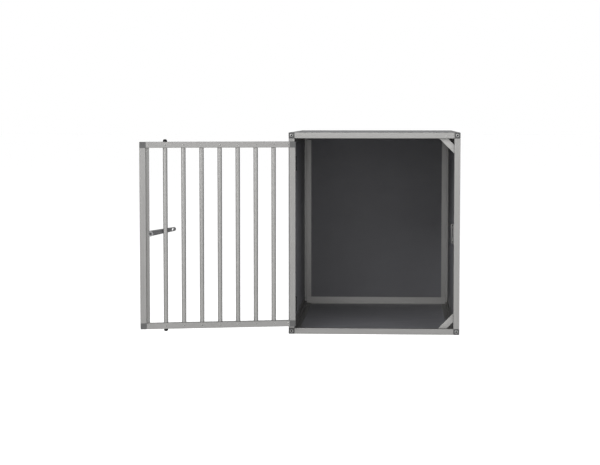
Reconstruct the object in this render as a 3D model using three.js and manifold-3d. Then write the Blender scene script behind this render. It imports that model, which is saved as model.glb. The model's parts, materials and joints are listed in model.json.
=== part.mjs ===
// An aluminium-profile dog crate: a box frame of square tube with panel fins,
// plastic corner connectors, five panels, and a barred door on two hinges with
// a swing latch. Millimetres, +Z up. The crate rests on the ground at Z = 0 and
// its doorway faces -Y. The origin is the middle of the front bottom rail's
// underside.
import * as THREE from "three";
import { mergeVertices } from "three/addons/utils/BufferGeometryUtils.js";
import Module from "manifold-3d";

const wasm = await Module();
wasm.setup();

// ---- driving dimensions ------------------------------------------------------
const WIDTH = 580; // over the frame, X
const DEPTH = 830; // over the frame, Y
const HEIGHT = 686; // over the frame, Z
const TUBE = 20; // square tube, outside
const WALL = 1.5; // tube wall
const CORNER_R = 1.4; // rounding of the tube's edges
const GAP = 0.3; // running or assembly gap between two pieces
const FIN_T = 1.5; // panel fin on the tube
const FIN_LONG = 17;
const FIN_SHORT = 10;
const PANEL_IN = 0.5; // panel set back from the outer face of the tube
const PANEL_T = 12;
const FIN_AT = PANEL_IN + PANEL_T + GAP; // from the outer face of the tube
const LEG = 35; // connector leg inside a tube
const HEAD_R = 6; // connector screw head

const DOOR_WIDTH = 524;
const DOOR_HEIGHT = 626;
const HINGE_X = 24; // hinge axis, from the left outer face
const HINGE_Y = -4.5; // and from the front plane
const DOOR_X0 = 28; // left edge of the closed door
const DOOR_X1 = DOOR_X0 + DOOR_WIDTH;
const DOOR_Z0 = (HEIGHT - DOOR_HEIGHT) / 2;
const DOOR_Z1 = DOOR_Z0 + DOOR_HEIGHT;
const OPEN_DEG = 167.4; // the door stands open this far at rest
const BARS = 7;
const BAR_R = 7.5;
const BAR_WALL = 1.5;
const CHANNEL_W = 12; // lock channel beside the latch stile
const CHANNEL_D = 14;
const CHANNEL_WALL = 1.2;
const BUMPER_R = 6.6;
const BUMPER_H = 8.6;

const HINGE_LONG = 50; // hinge leaf, along Z
const HINGE_FROM_END = 74; // hinge middle from the end of the door
const LEAF_T = 2;
const KNUCKLE_R = 4.3;
const PIN_R = 2;

const LATCH_X = 517.2; // latch spindle, closed door
const LATCH_Z = 349.5;
const SPINDLE_R = 2.5;
const LEVER_TILT = 10.1; // above level, away from the stile
const LEVER_LONG = 81.6; // spindle to the middle of the round tip
const LEVER_T = 3.5;
const TONGUE_REACH = 45;

const BRACE_IN = 22; // brace edges, measured along the frame from the inner corner
const BRACE_OUT = 51;
const BRACE_T = 3;

// ---- materials ---------------------------------------------------------------
const paint = (color, roughness, metalness) =>
  new THREE.MeshStandardMaterial({ color, roughness, metalness });
const ALU = () => paint(0xb4b4b1, 0.42, 0.9); // satin anodised
const PANEL = () => paint(0x3b3b3f, 0.6, 0.0); // anthracite faced board
const CONNECTOR = () => paint(0x4b4b4c, 0.55, 0.0); // grey plastic
const STEEL = () => paint(0xc3c4c6, 0.3, 1.0);
const DARK_STEEL = () => paint(0x55565a, 0.4, 0.9);
const BLACK = () => paint(0x17181a, 0.5, 0.2);
const RUBBER = () => paint(0x0e0e0f, 0.85, 0.0);

// ---- solids ------------------------------------------------------------------
function solid(geometry) {
  const g = geometry.clone();
  g.deleteAttribute("normal");
  g.deleteAttribute("uv");
  const m = mergeVertices(g, 1e-4);
  return new wasm.Manifold(
    new wasm.Mesh({
      numProp: 3,
      vertProperties: new Float32Array(m.attributes.position.array),
      triVerts: new Uint32Array(m.index.array),
    }),
  );
}
function geometryOf(body) {
  const m = body.getMesh();
  const g = new THREE.BufferGeometry();
  g.setAttribute(
    "position",
    new THREE.BufferAttribute(new Float32Array(m.vertProperties), 3),
  );
  g.setIndex(new THREE.BufferAttribute(new Uint32Array(m.triVerts), 1));
  g.computeVertexNormals();
  return g;
}
const join = (...gs) => geometryOf(gs.map(solid).reduce((a, b) => a.add(b)));
const cut = (g, ...tools) =>
  geometryOf(tools.map(solid).reduce((a, b) => a.subtract(b), solid(g)));

// A box between two corners.
const box = (x0, x1, y0, y1, z0, z1) =>
  new THREE.BoxGeometry(x1 - x0, y1 - y0, z1 - z0).translate(
    (x0 + x1) / 2,
    (y0 + y1) / 2,
    (z0 + z1) / 2,
  );

// Turns the faces round where a placement mirrors them.
function placed(g, matrix) {
  const out = g.clone().applyMatrix4(matrix);
  if (matrix.determinant() < 0) {
    const flat = out.index ? out.toNonIndexed() : out;
    const p = flat.attributes.position.array;
    for (let i = 0; i < p.length; i += 9)
      for (let k = 0; k < 3; k++)
        [p[i + 3 + k], p[i + 6 + k]] = [p[i + 6 + k], p[i + 3 + k]];
    return flat;
  }
  return out;
}
const basis = (u, v, w, o) =>
  new THREE.Matrix4().set(
    u[0], v[0], w[0], o[0],
    u[1], v[1], w[1], o[1],
    u[2], v[2], w[2], o[2],
    0, 0, 0, 1,
  );

// A rounded rectangle as a closed path.
function roundRect(path, x0, y0, x1, y1, r) {
  path.moveTo(x0 + r, y0);
  path.lineTo(x1 - r, y0);
  path.absarc(x1 - r, y0 + r, r, -Math.PI / 2, 0, false);
  path.lineTo(x1, y1 - r);
  path.absarc(x1 - r, y1 - r, r, 0, Math.PI / 2, false);
  path.lineTo(x0 + r, y1);
  path.absarc(x0 + r, y1 - r, r, Math.PI / 2, Math.PI, false);
  path.lineTo(x0, y0 + r);
  path.absarc(x0 + r, y0 + r, r, Math.PI, Math.PI * 1.5, false);
  return path;
}
const prism = (shape, depth, curveSegments = 3) =>
  new THREE.ExtrudeGeometry(shape, {
    depth,
    bevelEnabled: false,
    curveSegments,
  });
// A hollow tube of a x b, along +Z from z0 to z1, corner at the origin.
function tube(a, b, wall, z0, z1, r = CORNER_R) {
  const s = roundRect(new THREE.Shape(), 0, 0, a, b, r);
  s.holes.push(
    roundRect(new THREE.Path(), wall, wall, a - wall, b - wall, 0.4),
  );
  return prism(s, z1 - z0, 2).translate(0, 0, z0);
}
const cylinder = (r, y0, y1, x, z, sides = 24) =>
  new THREE.CylinderGeometry(r, r, y1 - y0, sides).translate(
    x,
    (y0 + y1) / 2,
    z,
  );
// A shape drawn in X, Z and made solid from y0 to y1.
const plate = (shape, y0, y1, curveSegments = 8) =>
  placed(
    prism(shape, y1 - y0, curveSegments),
    basis([1, 0, 0], [0, 0, 1], [0, 1, 0], [0, y0, 0]),
  );

// ---- assembly ----------------------------------------------------------------
const group = new THREE.Group();
group.name = "dog_crate";
group.position.set(-WIDTH / 2, -TUBE / 2, 0);
const door = new THREE.Group();
door.name = "door";
door.position.set(HINGE_X, HINGE_Y, 0);
door.rotation.z = THREE.MathUtils.degToRad(-OPEN_DEG);
group.add(door);

function add(name, geometry, material) {
  const mesh = new THREE.Mesh(geometry, material);
  mesh.name = name;
  group.add(mesh);
}
// Door pieces are drawn where they sit with the door closed.
function addDoor(name, geometry, material) {
  const mesh = new THREE.Mesh(
    geometry.clone().translate(-HINGE_X, -HINGE_Y, 0),
    material,
  );
  mesh.name = name;
  door.add(mesh);
}

// ---- frame tubes -------------------------------------------------------------
// Drawn with the crate's outer edge at u = v = 0 and the inside towards +u, +v.
// A "u" fin reaches along +u behind the panel whose outer face is v = 0.
function member(length, fins) {
  const parts = [tube(TUBE, TUBE, WALL, TUBE + GAP, length - TUBE - GAP)];
  const span = (whole) => (whole ? TUBE + GAP : TUBE + FIN_LONG + GAP);
  for (const [way, whole, long = FIN_LONG] of fins) {
    const a = span(whole);
    parts.push(
      way === "u"
        ? box(TUBE - 0.7, TUBE + long, FIN_AT, FIN_AT + FIN_T, a, length - a)
        : box(FIN_AT, FIN_AT + FIN_T, TUBE - 0.7, TUBE + long, a, length - a),
    );
  }
  return join(...parts);
}
const sx = { left: [1, 0], right: [-1, WIDTH] };
const sy = { front: [1, 0], back: [-1, DEPTH] };
const sz = { bottom: [1, 0], top: [-1, HEIGHT] };

for (const fb of ["front", "back"])
  for (const lr of ["left", "right"]) {
    const [a, x] = sx[lr];
    const [b, y] = sy[fb];
    let g = placed(
      member(HEIGHT, fb === "back" ? [["v", true], ["u", false]] : [["v", true]]),
      basis([a, 0, 0], [0, b, 0], [0, 0, 1], [x, y, 0]),
    );
    // The latch tongue swings into a slot in the right front post.
    if (fb === "front" && lr === "right")
      g = cut(g, box(WIDTH - TUBE - 2, WIDTH - TUBE + 2.5, 4.5, 15.5, 324, 366));
    add(`${fb}_${lr}_post`, g, ALU());
  }
for (const fb of ["front", "back"])
  for (const tb of ["top", "bottom"]) {
    const [b, y] = sy[fb];
    const [c, z] = sz[tb];
    const lip = tb === "top" ? FIN_SHORT : FIN_LONG; // over the back panel
    add(
      `${fb}_${tb}_rail`,
      placed(
        member(WIDTH, fb === "back" ? [["u", true], ["v", true, lip]] : [["u", true]]),
        basis([0, b, 0], [0, 0, c], [1, 0, 0], [0, y, z]),
      ),
      ALU(),
    );
  }
for (const lr of ["left", "right"])
  for (const tb of ["top", "bottom"]) {
    const [a, x] = sx[lr];
    const [c, z] = sz[tb];
    add(
      `${lr}_${tb}_rail`,
      placed(
        member(DEPTH, [["u", false], ["v", false]]),
        basis([a, 0, 0], [0, 0, c], [0, 1, 0], [x, 0, z]),
      ),
      ALU(),
    );
  }

// ---- corner connectors and their screws --------------------------------------
const legIn = WALL + GAP;
for (const fb of ["front", "back"])
  for (const lr of ["left", "right"])
    for (const tb of ["top", "bottom"]) {
      const [a, x] = sx[lr];
      const [b, y] = sy[fb];
      const [c, z] = sz[tb];
      const cube = plate(roundRect(new THREE.Shape(), 0, 0, TUBE, TUBE, CORNER_R), 0, TUBE, 2);
      const l0 = legIn;
      const l1 = TUBE - legIn;
      let g = join(
        cube,
        box(TUBE - 1, TUBE + LEG, l0, l1, l0, l1),
        box(l0, l1, TUBE - 1, TUBE + LEG, l0, l1),
        box(l0, l1, l0, l1, TUBE - 1, TUBE + LEG),
      );
      if (fb === "front") g = cut(g, cylinder(2.8, -1, 14, TUBE / 2, TUBE / 2, 16));
      add(
        `${fb}_${lr}_${tb}_connector`,
        placed(g, basis([a, 0, 0], [0, b, 0], [0, 0, c], [x, y, z])),
        CONNECTOR(),
      );
      if (fb === "front") {
        const turned = new THREE.LatheGeometry(
          [
            [0, -2.3],
            [HEAD_R - 1.6, -2.3],
            [HEAD_R, -1.2],
            [HEAD_R, -GAP],
            [2.5, -GAP],
            [2.5, 13],
            [0, 13],
          ].map(([r, h]) => new THREE.Vector2(r, h)),
          24,
        ).translate(TUBE / 2, 0, TUBE / 2);
        add(
          `${fb}_${lr}_${tb}_screw`,
          placed(
            cut(turned, cylinder(2.9, -3, -0.9, TUBE / 2, TUBE / 2, 6)),
            basis([a, 0, 0], [0, b, 0], [0, 0, c], [x, y, z]),
          ),
          STEEL(),
        );
      }
    }

// ---- panels ------------------------------------------------------------------
const e = TUBE + GAP;
const p0 = PANEL_IN;
const p1 = PANEL_IN + PANEL_T;
add("left_panel", box(p0, p1, e, DEPTH - e, e, HEIGHT - e), PANEL());
add("right_panel", box(WIDTH - p1, WIDTH - p0, e, DEPTH - e, e, HEIGHT - e), PANEL());
add("back_panel", box(e, WIDTH - e, DEPTH - p1, DEPTH - p0, e, HEIGHT - e), PANEL());
add("roof_panel", box(e, WIDTH - e, e, DEPTH - e, HEIGHT - p1, HEIGHT - p0), PANEL());
add("floor_panel", box(e, WIDTH - e, e, DEPTH - e, p0, p1), PANEL());

// ---- corner braces behind the right post, which the door closes against ------
const bx = WIDTH - TUBE;
for (const tb of ["top", "bottom"]) {
  const [c, z] = sz[tb];
  const far = TUBE - FIN_AT - FIN_T - GAP; // as far behind the tube as the fin allows
  const s = new THREE.Shape();
  const v = (dx, dz) => [bx - dx, TUBE + dz];
  const pts = [
    v(BRACE_IN + far, -far),
    v(BRACE_OUT + far, -far),
    v(-far, BRACE_OUT + far),
    v(-far, BRACE_IN + far),
  ];
  s.moveTo(...pts[0]);
  for (const p of pts.slice(1)) s.lineTo(...p);
  s.closePath();
  add(
    `${tb}_corner_brace`,
    placed(
      plate(s, TUBE + GAP, TUBE + GAP + BRACE_T),
      basis([1, 0, 0], [0, 1, 0], [0, 0, c], [0, 0, z]),
    ),
    ALU(),
  );
}

// ---- keeper on the right post ------------------------------------------------
{
  const z0 = 310;
  const z1 = 376;
  const x1 = bx - GAP;
  const lip = roundRect(new THREE.Shape(), bx - 9.4, z0, x1, z1, 1.2);
  for (const z of [315.6, 370.8]) {
    const hole = new THREE.Path();
    hole.absarc(bx - 3.9, z, 1.5, 0, Math.PI * 2, true);
    lip.holes.push(hole);
  }
  // A bowed slot between the two holes.
  const R = 64;
  const half = Math.asin(17.5 / R);
  const cx = bx - 2.7 - R;
  const bow = new THREE.Path();
  bow.absarc(cx, 345, R, -half, half, false);
  bow.absarc(cx, 345, R - 2.2, half, -half, true);
  bow.closePath();
  lip.holes.push(bow);
  const leg = cut(
    box(x1 - 1.7, x1, 1.5, 22.9, z0, z1),
    box(x1 - 3, x1 + 1, 4.5, 15.5, 325, 365),
  );
  add("latch_keeper", join(plate(lip, 20.9, 22.9, 10), leg), STEEL());
}

// ---- hinges ------------------------------------------------------------------
const hingeZ = [DOOR_Z0 + HINGE_FROM_END, DOOR_Z1 - HINGE_FROM_END];
const ring = (z0, z1) => {
  const s = new THREE.Shape();
  s.absarc(HINGE_X, HINGE_Y, KNUCKLE_R, 0, Math.PI * 2, false);
  return prism(s, z1 - z0, 12).translate(0, 0, z0);
};
const bore = (z0, z1) => {
  const s = new THREE.Shape();
  s.absarc(HINGE_X, HINGE_Y, PIN_R + 0.2, 0, Math.PI * 2, false);
  return prism(s, z1 - z0, 10).translate(0, 0, z0);
};
for (const [i, z] of hingeZ.entries()) {
  const which = i ? "top" : "bottom";
  const a = z - HINGE_LONG / 2;
  const b = z + HINGE_LONG / 2;
  const mid = 8.7;
  const fx = TUBE + GAP; // frame leaf on the post
  add(
    `${which}_hinge_frame_leaf`,
    cut(
      join(
        box(fx, fx + LEAF_T, 0.8, 17, a, b),
        box(fx, fx + LEAF_T, HINGE_Y, 1.5, a, z - mid - GAP),
        box(fx, fx + LEAF_T, HINGE_Y, 1.5, z + mid + GAP, b),
        ring(a, z - mid - GAP),
        ring(z + mid + GAP, b),
      ),
      bore(a - 1, b + 1),
    ),
    BLACK(),
  );
  const dx = DOOR_X0 - GAP - LEAF_T; // door leaf on the hinge stile
  addDoor(
    `${which}_hinge_door_leaf`,
    cut(
      join(
        box(dx, dx + LEAF_T, 0.8, 17, a, b),
        box(dx, dx + LEAF_T, HINGE_Y, 1.5, z - mid, z + mid),
        ring(z - mid, z + mid),
      ),
      bore(a - 1, b + 1),
    ),
    BLACK(),
  );
  add(
    `${which}_hinge_pin`,
    new THREE.CylinderGeometry(PIN_R, PIN_R, HINGE_LONG + 1, 16)
      .rotateX(Math.PI / 2)
      .translate(HINGE_X, HINGE_Y, z),
    BLACK(),
  );
}

// ---- door frame --------------------------------------------------------------
const dz0 = DOOR_Z0 + e;
const dz1 = DOOR_Z1 - e;
addDoor("door_hinge_stile", tube(TUBE, TUBE, WALL, dz0, dz1).translate(DOOR_X0, 0, 0), ALU());
{
  // The latch stile is slotted on both sides where the tongue swings through.
  const x = DOOR_X1 - TUBE;
  addDoor(
    "door_latch_stile",
    cut(
      tube(TUBE, TUBE, WALL, dz0, dz1).translate(x, 0, 0),
      box(x - 2, x + 3, 7, 13, LATCH_Z - 47.5, LATCH_Z + 14.5),
      box(DOOR_X1 - 3, DOOR_X1 + 2, 7, 13, LATCH_Z - 35, LATCH_Z + 14.5),
    ),
    ALU(),
  );
}
const barX = (i) => {
  const clear = (DOOR_WIDTH - 2 * TUBE - CHANNEL_W - BARS * 2 * BAR_R) / (BARS + 1);
  return DOOR_X0 + TUBE + clear + BAR_R + i * (clear + 2 * BAR_R);
};
const bumperX = barX(BARS - 1);
for (const tb of ["top", "bottom"]) {
  const top = tb === "top";
  const z = top ? DOOR_Z1 - TUBE : DOOR_Z0;
  const rail = placed(
    tube(TUBE, TUBE, WALL, DOOR_X0 + e, DOOR_X1 - e),
    basis([0, 1, 0], [0, 0, 1], [1, 0, 0], [0, 0, z]),
  );
  const stemZ = top ? DOOR_Z1 : DOOR_Z0;
  const hole = (r, a, b, sides) =>
    new THREE.CylinderGeometry(r, r, b - a, sides)
      .rotateX(Math.PI / 2)
      .translate(bumperX, TUBE / 2, (a + b) / 2);
  addDoor(`door_${tb}_rail`, cut(rail, hole(2.6, stemZ - 2, stemZ + 2, 12)), ALU());
  // A domed rubber bumper with a stem pressed into the rail.
  const k = top ? 1 : -1;
  const profile = [[0, -5], [2.2, -5], [2.2, GAP], [BUMPER_R, GAP]];
  for (let i = 0; i <= 6; i++) {
    const t = (i / 6) * (Math.PI / 2);
    profile.push([
      i === 6 ? 0 : BUMPER_R * Math.cos(t),
      BUMPER_H - BUMPER_R + BUMPER_R * Math.sin(t),
    ]);
  }
  const dome = new THREE.LatheGeometry(
    profile.map(([r, h]) => new THREE.Vector2(r, h)),
    20,
  ).rotateX(Math.PI / 2);
  addDoor(
    `door_${tb}_bumper`,
    placed(dome, basis([1, 0, 0], [0, 1, 0], [0, 0, k], [bumperX, TUBE / 2, stemZ])),
    RUBBER(),
  );
}
for (const lr of ["hinge", "latch"])
  for (const tb of ["top", "bottom"]) {
    const [a, x] = lr === "hinge" ? [1, DOOR_X0] : [-1, DOOR_X1];
    const [c, z] = tb === "bottom" ? [1, DOOR_Z0] : [-1, DOOR_Z1];
    addDoor(
      `door_${lr}_${tb}_connector`,
      placed(
        join(
          plate(roundRect(new THREE.Shape(), 0, 0, TUBE, TUBE, CORNER_R), 0, TUBE, 2),
          box(TUBE - 1, TUBE + LEG, legIn, TUBE - legIn, legIn, TUBE - legIn),
          box(legIn, TUBE - legIn, legIn, TUBE - legIn, TUBE - 1, TUBE + LEG),
        ),
        basis([a, 0, 0], [0, 1, 0], [0, 0, c], [x, 0, z]),
      ),
      CONNECTOR(),
    );
  }
for (let i = 0; i < BARS; i++) {
  const s = new THREE.Shape();
  s.absarc(0, 0, BAR_R, 0, Math.PI * 2, false);
  const h = new THREE.Path();
  h.absarc(0, 0, BAR_R - BAR_WALL, 0, Math.PI * 2, true);
  s.holes.push(h);
  addDoor(
    `door_bar_${i + 1}`,
    prism(s, dz1 - dz0, 14).translate(barX(i), TUBE / 2, dz0),
    ALU(),
  );
}

// ---- lock channel, latch bracket and swing latch -----------------------------
{
  const x0 = DOOR_X1 - TUBE - CHANNEL_W;
  const x1 = DOOR_X1 - TUBE - GAP;
  addDoor(
    "door_lock_channel",
    cut(
      tube(x1 - x0, CHANNEL_D, CHANNEL_WALL, dz0, dz1, 1).translate(x0, 0, 0),
      box(x1 - 2, x1 + 1, 7, 12.4, LATCH_Z - 47.5, LATCH_Z + 14.5),
      box(x0 - 1, x0 + 2.9, 7, CHANNEL_D + 1, LATCH_Z - 10.5, LATCH_Z + 13.6),
    ),
    ALU(),
  );

  // The bracket is fixed to the channel's outer face and carries the spindle.
  const r = 9.6;
  const b = new THREE.Shape();
  b.moveTo(LATCH_X, LATCH_Z - r);
  b.lineTo(x1 - 0.3, LATCH_Z - r);
  b.lineTo(x1 - 0.3, LATCH_Z + r);
  b.lineTo(LATCH_X, LATCH_Z + r);
  b.absarc(LATCH_X, LATCH_Z, r, Math.PI / 2, Math.PI * 1.5, false);
  const bh = new THREE.Path();
  bh.absarc(LATCH_X, LATCH_Z, SPINDLE_R + GAP, 0, Math.PI * 2, true);
  b.holes.push(bh);
  addDoor("latch_bracket", plate(b, -1.8, -GAP, 10), DARK_STEEL());

  // Lever on the door's outer face, with a slanted hole near its tip.
  const l = new THREE.Shape();
  const r0 = 9.4;
  const r1 = 6.7;
  const lean = Math.asin((r0 - r1) / LEVER_LONG);
  l.absarc(0, 0, r0, Math.PI / 2 - lean, Math.PI * 1.5 + lean, false);
  l.absarc(LEVER_LONG, 0, r1, -Math.PI / 2 + lean, Math.PI / 2 - lean, false);
  l.closePath();
  const lh = new THREE.Path();
  lh.absarc(0, 0, SPINDLE_R + GAP, 0, Math.PI * 2, true);
  l.holes.push(lh);
  const oh = new THREE.Path();
  const q = THREE.MathUtils.degToRad(58);
  const [ox, oy] = [LEVER_LONG - 5, 0];
  oh.absarc(ox + 2.4 * Math.cos(q), oy + 2.4 * Math.sin(q), 1.9, q + Math.PI / 2, q - Math.PI / 2, true);
  oh.absarc(ox - 2.4 * Math.cos(q), oy - 2.4 * Math.sin(q), 1.9, q - Math.PI / 2, q - Math.PI * 1.5, true);
  oh.closePath();
  l.holes.push(oh);
  const t = THREE.MathUtils.degToRad(180 - LEVER_TILT);
  addDoor(
    "latch_lever",
    placed(
      prism(l, LEVER_T, 10),
      basis(
        [Math.cos(t), 0, Math.sin(t)],
        [-Math.sin(t), 0, Math.cos(t)],
        [0, 1, 0],
        [LATCH_X, -2.1 - LEVER_T, LATCH_Z],
      ),
    ),
    DARK_STEEL(),
  );

  // Cam: a disc on the spindle with a tongue that hangs inside the channel and
  // swings out through the stile into the keeper as the lever comes down.
  const c = new THREE.Shape();
  const cr = 9.2;
  const ta = 4.9; // tongue, from the spindle's line
  const tb = 12.6;
  c.moveTo(ta, -TONGUE_REACH);
  c.lineTo(tb - 1.5, -TONGUE_REACH);
  c.absarc(tb - 1.5, -TONGUE_REACH + 1.5, 1.5, -Math.PI / 2, 0, false);
  c.lineTo(tb, -1.5);
  c.absarc(tb - 1.5, -1.5, 1.5, 0, Math.PI / 2, false);
  c.lineTo(Math.sqrt(cr * cr), 0);
  c.absarc(0, 0, cr, 0.001, Math.PI * 2 - Math.acos(ta / cr), false);
  c.closePath();
  const ch = new THREE.Path();
  ch.absarc(0, 0, SPINDLE_R + GAP, 0, Math.PI * 2, true);
  c.holes.push(ch);
  addDoor(
    "latch_cam",
    plate(c, 7.8, 11.6, 12).translate(LATCH_X, 0, LATCH_Z),
    DARK_STEEL(),
  );

  // Spindle through the lever, the bracket and the cam.
  addDoor(
    "latch_spindle",
    new THREE.LatheGeometry(
      [
        [0, -7.6],
        [5.6, -7.6],
        [6.2, -6.9],
        [6.2, -5.9],
        [SPINDLE_R, -5.9],
        [SPINDLE_R, 11.9],
        [5.2, 11.9],
        [5.2, 12.9],
        [4.6, 13.4],
        [0, 13.4],
      ].map(([rr, h]) => new THREE.Vector2(rr, h)),
      24,
    ).translate(LATCH_X, 0, LATCH_Z),
    STEEL(),
  );
}

export default group;
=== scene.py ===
import bpy
import bmesh
import json
import math
from mathutils import Matrix, Vector


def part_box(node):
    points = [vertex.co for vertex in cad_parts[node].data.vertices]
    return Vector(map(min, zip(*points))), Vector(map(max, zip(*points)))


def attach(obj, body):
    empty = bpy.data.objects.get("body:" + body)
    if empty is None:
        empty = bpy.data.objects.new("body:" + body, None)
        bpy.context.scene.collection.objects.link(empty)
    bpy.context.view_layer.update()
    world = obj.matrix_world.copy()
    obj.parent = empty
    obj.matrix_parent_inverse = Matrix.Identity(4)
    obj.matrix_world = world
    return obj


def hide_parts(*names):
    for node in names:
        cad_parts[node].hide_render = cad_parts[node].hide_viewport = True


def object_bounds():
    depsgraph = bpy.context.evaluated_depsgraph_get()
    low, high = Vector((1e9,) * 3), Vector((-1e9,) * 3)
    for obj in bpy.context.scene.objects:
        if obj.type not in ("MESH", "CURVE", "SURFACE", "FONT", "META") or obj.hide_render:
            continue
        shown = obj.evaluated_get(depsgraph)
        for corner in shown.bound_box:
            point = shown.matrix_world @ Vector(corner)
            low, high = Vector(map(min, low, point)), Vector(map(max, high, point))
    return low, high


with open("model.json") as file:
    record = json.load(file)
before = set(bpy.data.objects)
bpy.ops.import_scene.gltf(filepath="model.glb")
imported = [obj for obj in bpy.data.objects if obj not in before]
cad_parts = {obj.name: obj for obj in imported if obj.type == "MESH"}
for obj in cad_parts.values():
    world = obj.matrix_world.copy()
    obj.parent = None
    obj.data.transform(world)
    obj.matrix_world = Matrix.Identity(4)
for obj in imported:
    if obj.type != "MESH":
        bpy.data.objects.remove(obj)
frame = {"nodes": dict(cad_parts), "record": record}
CAD_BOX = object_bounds()
NODES = frame["nodes"]
RECORD = frame["record"]
WORLD_WHITE = 1.0
WORLD_TOP = 0.05
FLOOR_GLOW = 0.8
KEY_POWER = 120.0
FILL_POWER = 116.0
LEFT_POWER = 124.0
SIDE_POWER = 50.0
FRONT_POWER = 30.4
JOINT = {j["name"]: j for j in RECORD["behaviour"]["joints"]}
scene = bpy.context.scene
MM = 0.001

# ---- frames ------------------------------------------------------------------
# Door pieces are drawn with the door closed, then swung open to the rest pose.
HINGE = Vector(JOINT["door_hinge"]["pos_m"])
OPEN = math.radians(JOINT["door_hinge"]["range_deg"][1])
TO_REST = (
    Matrix.Translation(HINGE)
    @ Matrix.Rotation(-OPEN, 4, "Z")
    @ Matrix.Translation(-HINGE)
)
TO_CLOSED = TO_REST.inverted()
HERE = Matrix.Identity(4)


def span(points):
    pts = list(points)
    return (
        Vector([min(p[k] for p in pts) for k in range(3)]),
        Vector([max(p[k] for p in pts) for k in range(3)]),
    )


def closed_box(node):
    """A door node's lowest and highest corners with the door closed."""
    return span(TO_CLOSED @ v.co for v in NODES[node].data.vertices)


# ---- camera ------------------------------------------------------------------
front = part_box("front_bottom_rail")
cam_data = bpy.data.cameras.new("camera")
cam_data.sensor_width = 36.0
cam_data.lens = 36.0 * 1624.4 / 600.0
cam_data.clip_end = 100.0
cam = bpy.data.objects.new("camera", cam_data)
scene.collection.objects.link(cam)
cam.location = (0.0579, -5.5063, 0.7419)
cam.rotation_euler = (math.pi / 2 - 0.07165, 0.0, 0.05618)
scene.camera = cam

# ---- materials ---------------------------------------------------------------


class Tree:
    """A few short calls for building a material's nodes."""

    def __init__(self, name):
        self.mat = bpy.data.materials.new(name)
        self.mat.use_nodes = True
        self.n = self.mat.node_tree.nodes
        self.l = self.mat.node_tree.links
        self.bsdf = self.n["Principled BSDF"]
        self.out = self.n["Material Output"]
        self.tc = self.n.new("ShaderNodeTexCoord")

    def mapping(self, scale=(1, 1, 1), rot=(0, 0, 0), loc=(0, 0, 0)):
        m = self.n.new("ShaderNodeMapping")
        m.inputs["Scale"].default_value = scale
        m.inputs["Rotation"].default_value = rot
        m.inputs["Location"].default_value = loc
        self.l.new(self.tc.outputs["Object"], m.inputs["Vector"])
        return m.outputs["Vector"]

    def noise(self, vector, scale=1.0, detail=2.0, rough=0.5, distort=0.0):
        t = self.n.new("ShaderNodeTexNoise")
        t.inputs["Scale"].default_value = scale
        t.inputs["Detail"].default_value = detail
        t.inputs["Roughness"].default_value = rough
        t.inputs["Distortion"].default_value = distort
        self.l.new(vector, t.inputs["Vector"])
        return t.outputs["Fac"]

    def voronoi(self, vector, scale=1.0, smooth=False):
        t = self.n.new("ShaderNodeTexVoronoi")
        t.inputs["Scale"].default_value = scale
        if smooth:
            t.feature = "SMOOTH_F1"
        self.l.new(vector, t.inputs["Vector"])
        return t.outputs["Distance"]

    def ramp(self, fac, stops):
        r = self.n.new("ShaderNodeValToRGB")
        e = r.color_ramp.elements
        while len(e) < len(stops):
            e.new(0.5)
        for k, (pos, col) in enumerate(stops):
            e[k].position = pos
            e[k].color = (*col, 1.0) if len(col) == 3 else col
        self.l.new(fac, r.inputs["Fac"])
        return r.outputs["Color"]

    def remap(self, fac, lo, hi, a=0.0, b=1.0):
        m = self.n.new("ShaderNodeMapRange")
        m.inputs["From Min"].default_value = a
        m.inputs["From Max"].default_value = b
        m.inputs["To Min"].default_value = lo
        m.inputs["To Max"].default_value = hi
        self.l.new(fac, m.inputs["Value"])
        return m.outputs["Result"]

    def math(self, op, a, b):
        m = self.n.new("ShaderNodeMath")
        m.operation = op
        for k, v in enumerate((a, b)):
            if isinstance(v, (int, float)):
                m.inputs[k].default_value = v
            else:
                self.l.new(v, m.inputs[k])
        return m.outputs["Value"]

    def mix(self, fac, a, b, mode="MIX"):
        m = self.n.new("ShaderNodeMix")
        m.data_type = "RGBA"
        m.blend_type = mode
        for name, v in (("Factor", fac), ("A", a), ("B", b)):
            s = [i for i in m.inputs if i.name == name and i.enabled][0]
            if isinstance(v, (int, float)):
                s.default_value = v
            elif isinstance(v, tuple):
                s.default_value = (*v, 1.0)
            else:
                self.l.new(v, s)
        return [o for o in m.outputs if o.enabled][0]

    def bump(self, height, strength, distance, chain=None):
        b = self.n.new("ShaderNodeBump")
        b.inputs["Strength"].default_value = strength
        b.inputs["Distance"].default_value = distance
        self.l.new(height, b.inputs["Height"])
        if chain is not None:
            self.l.new(chain, b.inputs["Normal"])
        return b.outputs["Normal"]

    def edge(self):
        """1 on convex edges, 0 on flats."""
        g = self.n.new("ShaderNodeNewGeometry")
        return self.remap(g.outputs["Pointiness"], 0.0, 1.0, 0.5, 0.62)

    def set(self, **kw):
        for k, v in kw.items():
            s = self.bsdf.inputs[k.replace("_", " ")]
            if hasattr(v, "is_linked") or isinstance(v, bpy.types.NodeSocket):
                self.l.new(v, s)
            elif isinstance(v, tuple):
                s.default_value = (*v, 1.0)
            else:
                s.default_value = v
        return self


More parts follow.
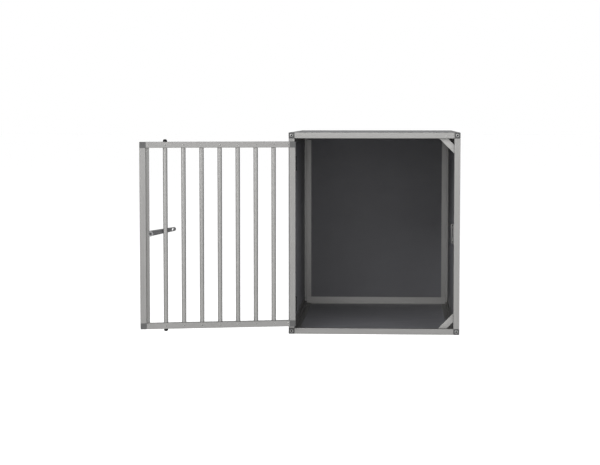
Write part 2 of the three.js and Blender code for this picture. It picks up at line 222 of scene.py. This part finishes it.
def aluminium(name, along, tone=0.196, rough=(0.36, 0.48), warm=0.012, rot=0.0):
    """Satin anodised extrusion with fine drawn lines along one axis."""
    t = Tree(name)
    fine = [420.0, 420.0, 420.0]
    fine["XYZ".index(along)] = 3.0
    long_ = [60.0, 60.0, 60.0]
    long_["XYZ".index(along)] = 1.2
    turn = (0.0, 0.0, rot)
    # the mapping turns first, so that the lines follow a door rail's own length
    lines = t.noise(t.mapping(tuple(fine), turn), 1.0, 3.0, 0.6)
    bands = t.noise(t.mapping(tuple(long_), turn), 1.0, 2.0, 0.5)
    cloud = t.noise(t.mapping((7, 7, 7)), 1.0, 3.0, 0.55)
    grain = t.noise(t.mapping((2600, 2600, 2600)), 1.0, 1.0, 0.5)
    base = (tone * (1 + warm), tone, tone * (1 - 1.6 * warm))
    lo = tuple(c * 0.93 for c in base)
    hi = tuple(min(1.0, c * 1.05) for c in base)
    col = t.ramp(lines, [(0.25, lo), (0.75, hi)])
    col = t.mix(t.remap(bands, 0.0, 0.3, 0.35, 0.75), col, tuple(c * 0.96 for c in base))
    col = t.mix(t.remap(cloud, 0.0, 0.22, 0.35, 0.7), col, tuple(c * 1.05 for c in base))
    r = t.math("ADD", t.remap(lines, rough[0], rough[1], 0.2, 0.8), t.remap(cloud, -0.03, 0.04))
    n = t.bump(lines, 0.10, 0.00006)
    n = t.bump(grain, 0.05, 0.00004, n)
    t.set(Base_Color=col, Metallic=0.78, Roughness=r, Normal=n)
    t.set(Specular_Tint=(0.45, 0.45, 0.45))
    return t.mat


def board(name, tone=(0.107, 0.107, 0.1155), scale=1.0):
    """Anthracite faced board: a fine pebbled, slightly glossy facing."""
    t = Tree(name)
    o = t.mapping((1, 1, 1))
    peb = t.voronoi(o, 900.0 * scale, True)
    fine = t.noise(o, 2400.0, 2.0, 0.6)
    cloud = t.noise(o, 4.0, 4.0, 0.55, 0.3)
    scuff = t.noise(t.mapping((14, 160, 60)), 1.0, 4.0, 0.6)
    lo = tuple(c * 0.94 for c in tone)
    hi = tuple(c * 1.06 for c in tone)
    col = t.ramp(cloud, [(0.3, lo), (0.7, hi)])
    col = t.mix(t.remap(fine, 0.0, 0.35, 0.35, 0.75), col, tuple(c * 1.18 for c in tone))
    r = t.math("ADD", t.remap(peb, 0.42, 0.54, 0.0, 0.6), t.remap(scuff, -0.05, 0.06, 0.3, 0.7))
    n = t.bump(peb, 0.22, 0.00012)
    n = t.bump(fine, 0.12, 0.00006, n)
    t.set(Base_Color=col, Roughness=r, Normal=n)
    t.bsdf.inputs["Specular IOR Level"].default_value = 0.28
    return t.mat


def plastic(name, tone, rough=(0.42, 0.56), bump=0.2, light=1.35, spec=0.4):
    """Moulded plastic with a fine spark-eroded grain and paler rubbed edges."""
    t = Tree(name)
    o = t.mapping((1, 1, 1))
    grain = t.noise(o, 1500.0, 3.0, 0.65)
    cloud = t.noise(o, 30.0, 3.0, 0.5)
    col = t.ramp(cloud, [(0.3, tuple(c * 0.9 for c in tone)), (0.7, tuple(c * 1.1 for c in tone))])
    col = t.mix(t.edge(), col, tuple(min(1, c * light) for c in tone))
    r = t.remap(grain, rough[0], rough[1], 0.25, 0.75)
    t.set(Base_Color=col, Roughness=r, Normal=t.bump(grain, bump, 0.0001))
    t.bsdf.inputs["Specular IOR Level"].default_value = spec
    return t.mat


def steel(name, tone, rough=(0.25, 0.42), wear_and_highlight=1.5, mottling=26.0):
    """Plain or dark steel with fine scratches; convex edges are lightened by the edge factor, which is worn metal at
    small factors and a painted highlight at large ones.
    """
    t = Tree(name)
    o = t.mapping((1, 1, 1))
    cloud = t.noise(o, mottling, 4.0, 0.6)
    scratch = t.noise(t.mapping((90, 900, 900), (0.2, 0.3, 0.1)), 1.0, 3.0, 0.7)
    col = t.ramp(cloud, [(0.3, tuple(c * 0.85 for c in tone)), (0.7, tuple(min(1, c * 1.15) for c in tone))])
    # Convex edges lightened by the edge factor: wear on the plain steels, a painted highlight where the factor is
    # large.
    col = t.mix(t.edge(), col, tuple(min(1, c * wear_and_highlight) for c in tone))
    r = t.remap(scratch, rough[0], rough[1], 0.25, 0.75)
    t.set(Base_Color=col, Metallic=1.0, Roughness=r, Normal=t.bump(scratch, 0.15, 0.00006))
    return t.mat


def painted(name, tone):
    """Black powder coat: fine orange peel."""
    t = Tree(name)
    o = t.mapping((1, 1, 1))
    peel = t.noise(o, 520.0, 2.0, 0.5)
    cloud = t.noise(o, 40.0, 2.0, 0.5)
    col = t.ramp(cloud, [(0.3, tuple(c * 0.85 for c in tone)), (0.7, tuple(c * 1.2 for c in tone))])
    col = t.mix(t.edge(), col, tuple(c * 2.2 for c in tone))
    t.set(Base_Color=col, Roughness=t.remap(peel, 0.42, 0.58), Normal=t.bump(peel, 0.2, 0.0001))
    t.bsdf.inputs["Specular IOR Level"].default_value = 0.15
    return t.mat


def rubber(name, tone):
    t = Tree(name)
    o = t.mapping((1, 1, 1))
    fine = t.noise(o, 1800.0, 2.0, 0.6)
    dust = t.noise(o, 160.0, 4.0, 0.6)
    col = t.mix(t.remap(dust, 0.0, 0.35, 0.5, 0.75), tone, tuple(c * 2.6 for c in tone))
    t.set(Base_Color=col, Roughness=t.remap(fine, 0.62, 0.82), Normal=t.bump(fine, 0.25, 0.0001))
    t.bsdf.inputs["Specular IOR Level"].default_value = 0.12
    return t.mat


ALU = {
    "X": aluminium("alu_x", "X"),
    "Y": aluminium("alu_y", "Y"),
    "Z": aluminium("alu_z", "Z"),
}
# Painted light: the back frame deep inside the crate is the same aluminium, given a brighter tone.
ALU_BACK_X_PAINTED_LIGHT = aluminium("alu_back_x_painted_light", "X", tone=0.278)
ALU_BACK_Z_PAINTED_LIGHT = aluminium("alu_back_z_painted_light", "Z", tone=0.252)
# Painted shade: the front bottom rail is the same aluminium, given a darker tone.
ALU_LOW_PAINTED_SHADE = aluminium("alu_low_painted_shade", "X", tone=0.192)
ALU_DOOR_X = aluminium("alu_door_x", "X", rot=OPEN)
# Painted light: the door's bottom rail is the same aluminium as its top rail, given a brighter tone.
ALU_DOOR_LOW_PAINTED_LIGHT = aluminium("alu_door_low_painted_light", "X", tone=0.199, rot=OPEN)
ALU_DOOR_Z = aluminium("alu_door_z", "Z")
ALU_BAR = aluminium("alu_bar", "Z", tone=0.204)
# Painted shade: the recessed lock channel is the same aluminium, given a darker tone.
ALU_CHANNEL_PAINTED_SHADE = aluminium("alu_channel_painted_shade", "Z", tone=0.160, rough=(0.38, 0.5))
# Painted light: the corner braces are the same aluminium, given a brighter tone.
ALU_BRACE_PAINTED_LIGHT = aluminium("alu_brace_painted_light", "X", tone=0.232, rot=math.radians(45))
BOARD = board("anthracite_board")
GREY_PLASTIC = plastic("grey_plastic", (0.030, 0.030, 0.030))
DOOR_PLASTIC = plastic("door_plastic", (0.043, 0.043, 0.043))
SCREW = steel("screw_steel", (0.17, 0.17, 0.168), (0.26, 0.42), 1.5)
ZINC = steel("zinc_steel", (0.55, 0.55, 0.54), (0.24, 0.4), 1.25)
# Keeper and latch steels: their large edge factors (4.2, 4.5) paint a bright highlight along their edges.
KEEPER_PAINTED_HIGHLIGHT = steel("keeper_steel", (0.048, 0.048, 0.047), (0.34, 0.5), 4.2)
DARK_STEEL_PAINTED_HIGHLIGHT = steel("dark_steel_painted_highlight", (0.045, 0.045, 0.046), (0.3, 0.45), 4.5)
RIVET = steel("rivet_steel", (0.26, 0.26, 0.255), (0.22, 0.34), 1.5)
# Painted shade: a near-black material laid into rivet pits and screw sockets, where the hollow is only in shade.
PAINTED_SHADE = plastic("painted_shade_pit", (0.006, 0.006, 0.006), (0.7, 0.8), light=1.0, spec=0.1)
BLACK = painted("black_coat", (0.005, 0.005, 0.0052))
RUBBER = rubber("black_rubber", (0.004, 0.004, 0.004))

# ---- mesh helpers ------------------------------------------------------------


def piece(name, bm, mat, body, matrix=HERE, sharp=35.0):
    """A finished mesh object from a bmesh drawn in metres."""
    bm.transform(matrix)
    bmesh.ops.recalc_face_normals(bm, faces=bm.faces)
    me = bpy.data.meshes.new(name)
    bm.to_mesh(me)
    bm.free()
    for p in me.polygons:
        p.use_smooth = True
    me.set_sharp_from_angle(angle=math.radians(sharp))
    ob = bpy.data.objects.new(name, me)
    for m in mat if isinstance(mat, (list, tuple)) else [mat]:
        me.materials.append(m)
    scene.collection.objects.link(ob)
    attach(ob, body)
    return ob


def lathe(bm, profile, sides=32, matrix=HERE, hexagon=(), dark=()):
    """Turns (radius, height) points in metres about +Z and closes them into one solid.
    Points whose index is in hexagon follow a hexagon of that flat size.
    Segments whose index is in dark take the piece's second material, which here is always the near-black painted shade
    for pits and sockets."""
    rings = []

    def face(i, *verts):
        bm.faces.new(verts).material_index = 1 if i in dark else 0

    for i, (r, h) in enumerate(profile):
        if r <= 1e-9:
            rings.append([bm.verts.new(matrix @ Vector((0, 0, h)))])
            continue
        ring = []
        for k in range(sides):
            a = 2 * math.pi * k / sides
            rr = r
            if i in hexagon:
                b = (a % (math.pi / 3)) - math.pi / 6
                rr = r * math.cos(math.pi / 6) / math.cos(b)
            ring.append(bm.verts.new(matrix @ Vector((rr * math.cos(a), rr * math.sin(a), h))))
        rings.append(ring)
    for i, (a, b) in enumerate(zip(rings, rings[1:])):
        if len(a) == 1 and len(b) == 1:
            continue
        for k in range(sides):
            j = (k + 1) % sides
            if len(a) == 1:
                face(i, a[0], b[j], b[k])
            elif len(b) == 1:
                face(i, a[k], a[j], b[0])
            else:
                face(i, a[k], a[j], b[j], b[k])
    if len(rings[0]) > 1 and len(rings[-1]) > 1:  # closes a ring-shaped section
        a, b = rings[-1], rings[0]
        for k in range(sides):
            j = (k + 1) % sides
            bm.faces.new((a[k], a[j], b[j], b[k]))
    return bm


def plate(name, outlines, thick, edge, mat, body, matrix, sharp=40.0):
    """A flat plate with rounded edges. The first outline is the outside, the others are holes.
    Drawn in its own X, Y, with its faces at Z = 0 and Z = thick, all in metres."""
    cu = bpy.data.curves.new(name, "CURVE")
    cu.dimensions = "2D"
    cu.fill_mode = "BOTH"
    cu.extrude = thick / 2 - edge
    cu.bevel_depth = edge
    cu.bevel_resolution = 2
    cu.offset = -edge
    for pts in outlines:
        sp = cu.splines.new("POLY")
        sp.points.add(len(pts) - 1)
        for q, (x, y) in zip(sp.points, pts):
            q.co = (x, y, 0, 1)
        sp.use_cyclic_u = True
    tmp = bpy.data.objects.new(name + ".tmp", cu)
    scene.collection.objects.link(tmp)
    bpy.context.view_layer.update()
    me = bpy.data.meshes.new_from_object(tmp.evaluated_get(bpy.context.evaluated_depsgraph_get()))
    bm = bmesh.new()
    bm.from_mesh(me)
    bpy.data.objects.remove(tmp)
    bpy.data.curves.remove(cu)
    bpy.data.meshes.remove(me)
    bmesh.ops.remove_doubles(bm, verts=bm.verts, dist=1e-6)
    bm.transform(Matrix.Translation((0, 0, thick / 2)))
    return piece(name, bm, mat, body, matrix, sharp)


def arc(cx, cy, r, a0, a1, n):
    return [
        (cx + r * math.cos(a0 + (a1 - a0) * k / n), cy + r * math.sin(a0 + (a1 - a0) * k / n))
        for k in range(n + 1)
    ]


def circle(cx, cy, r, n=28):
    return arc(cx, cy, r, 0, 2 * math.pi, n)[:-1]


def aim(at, z, x=None):
    """A matrix that puts a drawing's origin at a point, with its Z along z."""
    z = Vector(z).normalized()
    x = Vector(x) if x is not None else (Vector((0, 0, 1)) if abs(z.z) < 0.9 else Vector((1, 0, 0)))
    x = (x - z * x.dot(z)).normalized()
    y = z.cross(x)
    m = Matrix((x, y, z)).transposed().to_4x4()
    m.translation = Vector(at)
    return m


RIVET_PROFILE = [
    (0.0, -0.6), (1.5, -0.6), (1.5, -0.05), (3.0, -0.05), (3.05, 0.12), (2.8, 0.5),
    (2.25, 0.85), (1.65, 0.98), (1.45, 0.9), (1.4, 0.2), (0.0, 0.2),
]
SCREW_PROFILE = [
    (0.0, -1.2), (1.4, -1.2), (1.4, -0.05), (2.9, -0.05), (3.0, 0.15), (2.75, 0.7),
    (2.1, 1.15), (1.45, 1.25), (1.35, 1.15), (1.3, 0.35), (0.0, 0.35),
]


def rivets(name, spots, mat, body, profile=RIVET_PROFILE, scale=1.0, hexagon=(), dark=(8, 9)):
    """Small heads on a surface; spots are (point, outward direction), in the row frame at rest."""
    bm = bmesh.new()
    for at, out in spots:
        lathe(bm, [(r * MM * scale, h * MM * scale) for r, h in profile], 18, aim(at, out), hexagon, dark)
    # The pit segments take the near-black painted shade material.
    return piece(name, bm, [mat, PAINTED_SHADE], body, sharp=50.0)


def dress(node, mat, edge=0.4, segments=2, angle=50.0):
    """A carried-over CAD node: its material, and softened edges by modifiers."""
    o = NODES[node]
    for s in o.material_slots:
        s.material = mat
    if edge:
        w = o.modifiers.new("weld", "WELD")
        w.merge_threshold = 2e-6
        b = o.modifiers.new("edges", "BEVEL")
        b.width = edge * MM
        b.segments = segments
        b.limit_method = "ANGLE"
        b.angle_limit = math.radians(angle)
        b.harden_normals = True
        b.use_clamp_overlap = True


# ---- frame -------------------------------------------------------------------
for fb in ("front", "back"):
    for lr in ("left", "right"):
        dress(f"{fb}_{lr}_post", ALU["Z"] if fb == "front" else ALU_BACK_Z_PAINTED_LIGHT, 0.55)
    dress(f"{fb}_top_rail", ALU["X"], 0.55)
dress("front_bottom_rail", ALU_LOW_PAINTED_SHADE, 0.55)
dress("back_bottom_rail", ALU_BACK_X_PAINTED_LIGHT, 0.55)
for lr in ("left", "right"):
    for tb in ("top", "bottom"):
        dress(f"{lr}_{tb}_rail", ALU["Y"], 0.55)
for p in ("left", "right", "back", "roof", "floor"):
    dress(f"{p}_panel", BOARD, 0.6)
for tb in ("top", "bottom"):
    dress(f"{tb}_corner_brace", ALU_BRACE_PAINTED_LIGHT, 0.4)
dress("latch_keeper", KEEPER_PAINTED_HIGHLIGHT, 0.25)
for fb in ("front", "back"):
    for lr in ("left", "right"):
        for tb in ("top", "bottom"):
            dress(f"{fb}_{lr}_{tb}_connector", GREY_PLASTIC, 0.9, 3)
for lr in ("hinge", "latch"):
    for tb in ("top", "bottom"):
        dress(f"door_{lr}_{tb}_connector", DOOR_PLASTIC, 0.9, 3)

# Button-head screws with a hexagon socket in the front connectors; the socket walls and floor are painted near-black as
# painted shade.
for lr in ("left", "right"):
    for tb in ("top", "bottom"):
        node = f"front_{lr}_{tb}_screw"
        lo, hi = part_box(node)
        lo, hi = Vector(lo), Vector(hi)
        c = (lo + hi) / 2
        R = (hi.x - lo.x) / 2
        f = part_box(f"front_{lr}_{tb}_connector")[0][1]
        proud = f - lo.y
        bm = bmesh.new()
        lathe(
            bm,
            [
                (0, -13 * MM), (2.5 * MM, -13 * MM), (2.5 * MM, -0.3 * MM),
                (R, 0.3 * MM), (R, 0.9 * MM), (R * 0.93, proud * 0.72),
                (R * 0.78, proud * 0.93), (R * 0.58, proud),
                (3.3 * MM, proud), (3.15 * MM, proud - 0.25 * MM),
                (3.1 * MM, proud - 1.6 * MM), (0, proud - 1.8 * MM),
            ],
            36,
            aim((c.x, f, c.z), (0, -1, 0)),
            hexagon=(9, 10),
            dark=(9, 10),
        )
        s = piece(f"screw_{lr}_{tb}", bm, [SCREW, PAINTED_SHADE], "crate", sharp=38)
        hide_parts(node)

# ---- hinges ------------------------------------------------------------------
screw_spots_frame, screw_spots_door = [], []
for tb in ("bottom", "top"):
    dress(f"{tb}_hinge_frame_leaf", BLACK, 0.35)
    dress(f"{tb}_hinge_door_leaf", BLACK, 0.35)
    lo, hi = [Vector(v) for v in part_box(f"{tb}_hinge_pin")]
    c = (lo + hi) / 2
    r = (hi.x - lo.x) / 2
    h = (hi.z - lo.z) / 2
    bm = bmesh.new()
    lathe(
        bm,
        [(0, -h), (r * 0.75, -h), (r, -h + 0.5 * MM), (r, h - 0.5 * MM), (r * 0.75, h), (0, h)],
        28,
        Matrix.Translation(c),
    )
    pin = piece(f"hinge_pin_{tb}", bm, BLACK, "crate")
    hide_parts(f"{tb}_hinge_pin")
    lo, hi = [Vector(v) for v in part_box(f"{tb}_hinge_frame_leaf")]
    leaf_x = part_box("front_left_post")[1][0] + 0.0023
    for dz in (-16.5, 16.5):
        screw_spots_frame.append(((leaf_x, lo.y + 19.0 * MM, c.z + dz * MM), (1, 0, 0)))
    lo, hi = closed_box(f"{tb}_hinge_door_leaf")
    d0 = closed_box("door_hinge_stile")[0]
    for dz in (-16.5, 16.5):
        at = TO_REST @ Vector((d0.x - 2.3 * MM, lo.y + 19.0 * MM, c.z + dz * MM))
        screw_spots_door.append((at, TO_REST.to_3x3() @ Vector((-1, 0, 0))))
LOW = [(r, h * 0.55 if h > 0 else h) for r, h in SCREW_PROFILE]
s = rivets("hinge_screws_frame", screw_spots_frame, BLACK, "crate", LOW, 0.9)
s = rivets("hinge_screws_door", screw_spots_door, BLACK, "door", LOW, 0.9)

# ---- door --------------------------------------------------------------------
dress("door_hinge_stile", ALU_DOOR_Z, 0.0)
dress("door_latch_stile", ALU_DOOR_Z, 0.0)
dress("door_top_rail", ALU_DOOR_X, 0.0)
dress("door_bottom_rail", ALU_DOOR_LOW_PAINTED_LIGHT, 0.0)
dress("door_lock_channel", ALU_CHANNEL_PAINTED_SHADE, 0.0)
bars = []
for i in range(1, 8):
    node = f"door_bar_{i}"
    lo, hi = closed_box(node)
    c = (lo + hi) / 2
    r = (hi.x - lo.x) / 2
    h = (hi.z - lo.z) / 2
    w = 1.5 * MM
    bm = bmesh.new()
    lathe(
        bm,
        [(r - w, -h), (r - 0.3 * MM, -h), (r, -h + 0.3 * MM), (r, -h * 0.5), (r, 0), (r, h * 0.5),
         (r, h - 0.3 * MM), (r - 0.3 * MM, h), (r - w, h)],
        44,
        Matrix.Translation(c),
    )
    b = piece(f"bar_{i}", bm, ALU_BAR, "door", TO_REST)
    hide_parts(node)
    bars.append(c.x)

top = closed_box("door_top_rail")
bot = closed_box("door_bottom_rail")
chan = closed_box("door_lock_channel")
inner = top[1].y
rest3 = TO_REST.to_3x3()
spots = []
for rail in (top, bot):
    z = (rail[0].z + rail[1].z) / 2
    xs = list(bars) + [(chan[0].x + chan[1].x) / 2 - 3.6 * MM, top[0].x + 4.4 * MM]
    for x in xs:
        spots.append((TO_REST @ Vector((x, inner, z)), rest3 @ Vector((0, 1, 0))))
s = rivets("rail_rivets", spots, RIVET, "door")
spots = []
cx = (chan[0].x + chan[1].x) / 2 + 1.4 * MM
for z in (chan[1].z - 12 * MM, chan[0].z + 12 * MM):
    spots.append((TO_REST @ Vector((cx, chan[1].y, z)), rest3 @ Vector((0, 1, 0))))
s = rivets("channel_rivets", spots, RIVET, "door", scale=0.8)

# Domed rubber bumpers, with a skirt where they sit on the rail.
for tb in ("top", "bottom"):
    node = f"door_{tb}_bumper"
    lo, hi = closed_box(node)
    rail = top if tb == "top" else bot
    k = 1 if tb == "top" else -1
    base = rail[1].z if k > 0 else rail[0].z
    H = (hi.z - base) if k > 0 else (base - lo.z)
    R = (hi.x - lo.x) / 2 + 0.7 * MM
    prof = [(0, -5 * MM), (2.2 * MM, -5 * MM), (2.2 * MM, 0.3 * MM), (R * 0.96, 0.3 * MM), (R, 0.7 * MM), (R, 1.7 * MM), (R * 0.95, 2.1 * MM)]
    n = 9
    for j in range(n + 1):
        a = math.pi / 2 * j / n
        prof.append((R * 0.95 * math.cos(a) ** 0.62 if j < n else 0.0, 2.1 * MM + (H - 2.1 * MM) * math.sin(a) ** 0.85))
    bm = bmesh.new()
    at = TO_REST @ Vector(((lo.x + hi.x) / 2, (lo.y + hi.y) / 2, base))
    lathe(bm, prof, 32, aim(at, (0, 0, k)))
    b = piece(f"bumper_{tb}", bm, RUBBER, "door", sharp=50)
    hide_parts(node)

# ---- latch -------------------------------------------------------------------
lat = JOINT["latch_turn"]
P = TO_CLOSED @ Vector(lat["pos_m"])
DOWN = (
    Matrix.Translation((P.x, 0, P.z))
)
lo, hi = closed_box("latch_lever")
tilt = math.radians(10.1)
along = Vector((-math.cos(tilt), 0, math.sin(tilt)))
R0, R1, L = 9.4 * MM, 6.7 * MM, 81.6 * MM
lean = math.asin((R0 - R1) / L)
outline = arc(0, 0, R0, math.pi / 2 - lean, math.pi * 1.5 + lean, 22)
outline += arc(L, 0, R1, -math.pi / 2 + lean, math.pi / 2 - lean, 16)
q = math.radians(58)
ox = L - 5.0 * MM
dx, dy = 2.4 * MM * math.cos(q), 2.4 * MM * math.sin(q)
slot = arc(ox + dx, dy, 1.9 * MM, q - math.pi / 2, q + math.pi / 2, 10)
slot += arc(ox - dx, -dy, 1.9 * MM, q + math.pi / 2, q + math.pi * 1.5, 10)
m = Matrix.Identity(4)
ycol = Vector((math.sin(tilt), 0, math.cos(tilt)))
m.col[0] = (*along, 0)
m.col[1] = (*ycol, 0)
m.col[2] = (*along.cross(ycol), 0)
back = lo.y if along.cross(ycol).y > 0 else hi.y
m.translation = Vector((P.x, back, P.z))
lever = plate("lever", [outline, circle(0, 0, 2.8 * MM), slot], hi.y - lo.y, 0.7 * MM, DARK_STEEL_PAINTED_HIGHLIGHT, "latch", TO_REST @ m)
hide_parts("latch_lever")
dress("latch_bracket", DARK_STEEL_PAINTED_HIGHLIGHT, 0.3)
dress("latch_cam", DARK_STEEL_PAINTED_HIGHLIGHT, 0.5, 3)

lo, hi = closed_box("latch_spindle")
bm = bmesh.new()
y0 = lo.y
prof = [
    (0, 0), (4.4, 0), (5.6, 0.25), (6.2, 0.9), (6.2, 1.7), (2.5, 1.7), (2.5, 19.5),
    (5.2, 19.5), (5.2, 20.4), (4.7, 20.9), (3.0, 21.0), (2.6, 20.6), (0, 20.6),
]
lathe(bm, [(r * MM, h * MM) for r, h in prof], 32, aim((P.x, y0, P.z), (0, 1, 0)))
sp = piece("spindle", bm, DARK_STEEL_PAINTED_HIGHLIGHT, "latch", TO_REST, sharp=40)
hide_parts("latch_spindle")
b0, b1 = closed_box("latch_bracket")
spots = []
for dz in (-5.2, 5.2):
    spots.append((TO_REST @ Vector((b1.x - 2.6 * MM, b0.y, P.z + dz * MM)), rest3 @ Vector((0, -1, 0))))
s = rivets("bracket_rivets", spots, RIVET, "door", scale=0.62)

# Keeper screws, and one rivet on the front top rail.
k0, k1 = [Vector(v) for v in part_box("latch_keeper")]
spots = [((k1.x - 3.6 * MM, k0.y + 19.4 * MM, k0.z + 5.6 * MM), (0, -1, 0)),
         ((k1.x - 3.6 * MM, k0.y + 19.4 * MM, k1.z - 5.2 * MM), (0, -1, 0))]
s = rivets("keeper_screws", spots, BLACK, "crate", scale=0.62)
fr = [Vector(v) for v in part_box("front_top_rail")]
spots = [((0.2410, fr[0].y, 0.6734), (0, -1, 0))]
s = rivets("rail_rivet_front", spots, RIVET, "crate", scale=0.8)

# ---- floor, world and light --------------------------------------------------
bm = bmesh.new()
bmesh.ops.create_grid(bm, x_segments=2, y_segments=2, size=60.0)
me = bpy.data.meshes.new("studio_floor")
bm.to_mesh(me)
bm.free()
floor = bpy.data.objects.new("studio_floor", me)
scene.collection.objects.link(floor)
floor.location = (0, 0, CAD_BOX[0][2] - 0.0005)
fm = bpy.data.materials.new("studio_floor")
fm.use_nodes = True
fb = fm.node_tree.nodes["Principled BSDF"]
fb.inputs["Base Color"].default_value = (0.5, 0.5, 0.5, 1)
fb.inputs["Roughness"].default_value = 0.9
fb.inputs["Specular IOR Level"].default_value = 0.1
fb.inputs["Emission Color"].default_value = (1, 1, 1, 1)
fb.inputs["Emission Strength"].default_value = FLOOR_GLOW
me.materials.append(fm)

world = bpy.data.worlds.new("studio")
scene.world = world
world.use_nodes = True
wn, wl = world.node_tree.nodes, world.node_tree.links
bg = wn["Background"]
wtc = wn.new("ShaderNodeTexCoord")


def towards(vec, lo, hi, a, b):
    """A smooth ramp over how far a direction points along vec."""
    d = wn.new("ShaderNodeVectorMath")
    d.operation = "DOT_PRODUCT"
    v = Vector(vec).normalized()
    d.inputs[1].default_value = v
    wl.new(wtc.outputs["Generated"], d.inputs[0])
    m = wn.new("ShaderNodeMapRange")
    m.interpolation_type = "SMOOTHSTEP"
    m.inputs["From Min"].default_value = a
    m.inputs["From Max"].default_value = b
    m.inputs["To Min"].default_value = lo
    m.inputs["To Max"].default_value = hi
    wl.new(d.outputs["Value"], m.inputs["Value"])
    return m.outputs["Result"]


sky = towards((0, 0, 1), WORLD_WHITE, WORLD_TOP, 0.30, 0.80)
wl.new(sky, bg.inputs["Strength"])
bg.inputs["Color"].default_value = (1, 1, 1, 1)
scene.view_settings.view_transform = "Standard"
scene.view_settings.look = "None"


def area(name, at, to, size, power, size_y=None):
    d = bpy.data.lights.new(name, "AREA")
    d.shape = "RECTANGLE"
    d.size = size
    d.size_y = size_y or size
    d.energy = power
    o = bpy.data.objects.new(name, d)
    scene.collection.objects.link(o)
    o.location = at
    o.rotation_euler = (Vector(to) - Vector(at)).to_track_quat("-Z", "Y").to_euler()
    return o


area("key", (-0.8, -3.4, 3.1), (0.0, 0.45, 0.1), 2.2, KEY_POWER, 2.0)
area("fill", (3.7, -3.6, 2.2), (0.0, 0.4, 0.3), 2.4, FILL_POWER, 2.4)
area("left", (-3.2, -3.8, 2.0), (0.0, 0.4, 0.3), 2.0, LEFT_POWER, 2.4)

area("side", (-4.4, -1.4, 1.6), (-0.5, 0.0, 0.3), 2.0, SIDE_POWER, 2.0)
area("front", (0.3, -5.0, 1.7), (0.0, 0.6, 0.3), 2.6, FRONT_POWER, 2.0)
